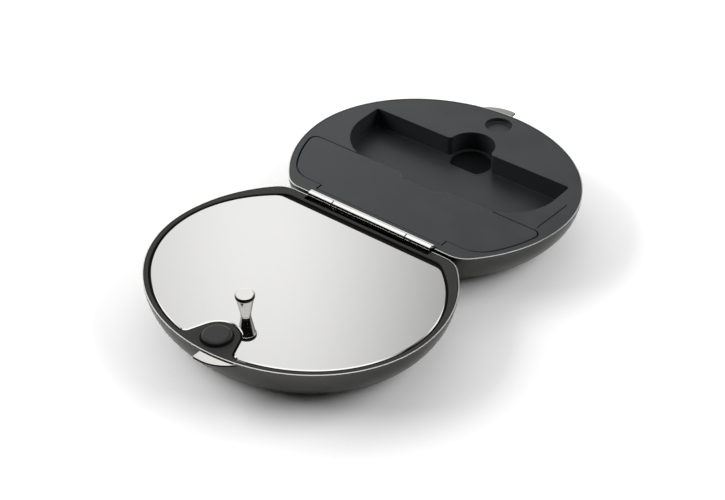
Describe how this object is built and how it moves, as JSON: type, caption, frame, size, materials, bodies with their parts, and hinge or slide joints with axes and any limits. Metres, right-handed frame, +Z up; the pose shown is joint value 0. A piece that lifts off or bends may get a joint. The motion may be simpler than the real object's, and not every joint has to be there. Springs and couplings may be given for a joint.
{
  "type": "tobacco box",
  "caption": "Pocket tobacco box of two shallow metal half shells on a back hinge, with a mirror lid over a tobacco well and a paper pocket beside a covered filter compartment.",
  "frame": {"origin": "on the surface the opened box lies on, below the middle of the hinge axis", "axes": "+X from the tobacco half to the paper half, +Y along the hinge axis, +Z up"},
  "size_m": [0.1996, 0.12, 0.0273],
  "materials": {
    "shell_steel": "satin",
    "insert_plastic": "satin",
    "polished_steel": "polished",
    "mirror_steel": "mirror polished",
    "plain_steel": "plain",
    "seal_rubber": "matte"
  },
  "bodies": {
    "tobacco_half": {"tobacco_shell": "shell_steel", "tobacco_insert": "insert_plastic", "tobacco_tab": "polished_steel", "lid_seal": "seal_rubber", "catch_boss": "insert_plastic", "catch_magnet": "plain_steel", "hinge_leaf_outer": "polished_steel", "hinge_pin": "plain_steel", "leaf_rivets_outer": "plain_steel"},
    "tobacco_lid": {"lid_plate": "mirror_steel", "lid_liner": "insert_plastic", "lid_knob": "polished_steel", "knob_screw": "plain_steel"},
    "paper_half": {"paper_shell": "shell_steel", "paper_insert": "insert_plastic", "paper_tab": "polished_steel", "catch_plate": "plain_steel", "hinge_leaf_inner": "polished_steel", "leaf_rivets_inner": "plain_steel"},
    "filter_flap": {"filter_cover": "insert_plastic"}
  },
  "joints": [
    {"name": "case_hinge", "type": "hinge", "parent": "tobacco_half", "child": "paper_half", "pos_m": [0, 0, 0.0182], "axis": [0, 1, 0], "range_deg": [-180, 0]},
    {"name": "lid_lift", "type": "slide", "parent": "tobacco_half", "child": "tobacco_lid", "axis": [0, 0, 1], "range_m": [0, 0.045]},
    {"name": "cover_lift", "type": "slide", "parent": "paper_half", "child": "filter_flap", "axis": [0, 0, 1], "range_m": [0, 0.045]}
  ]
}
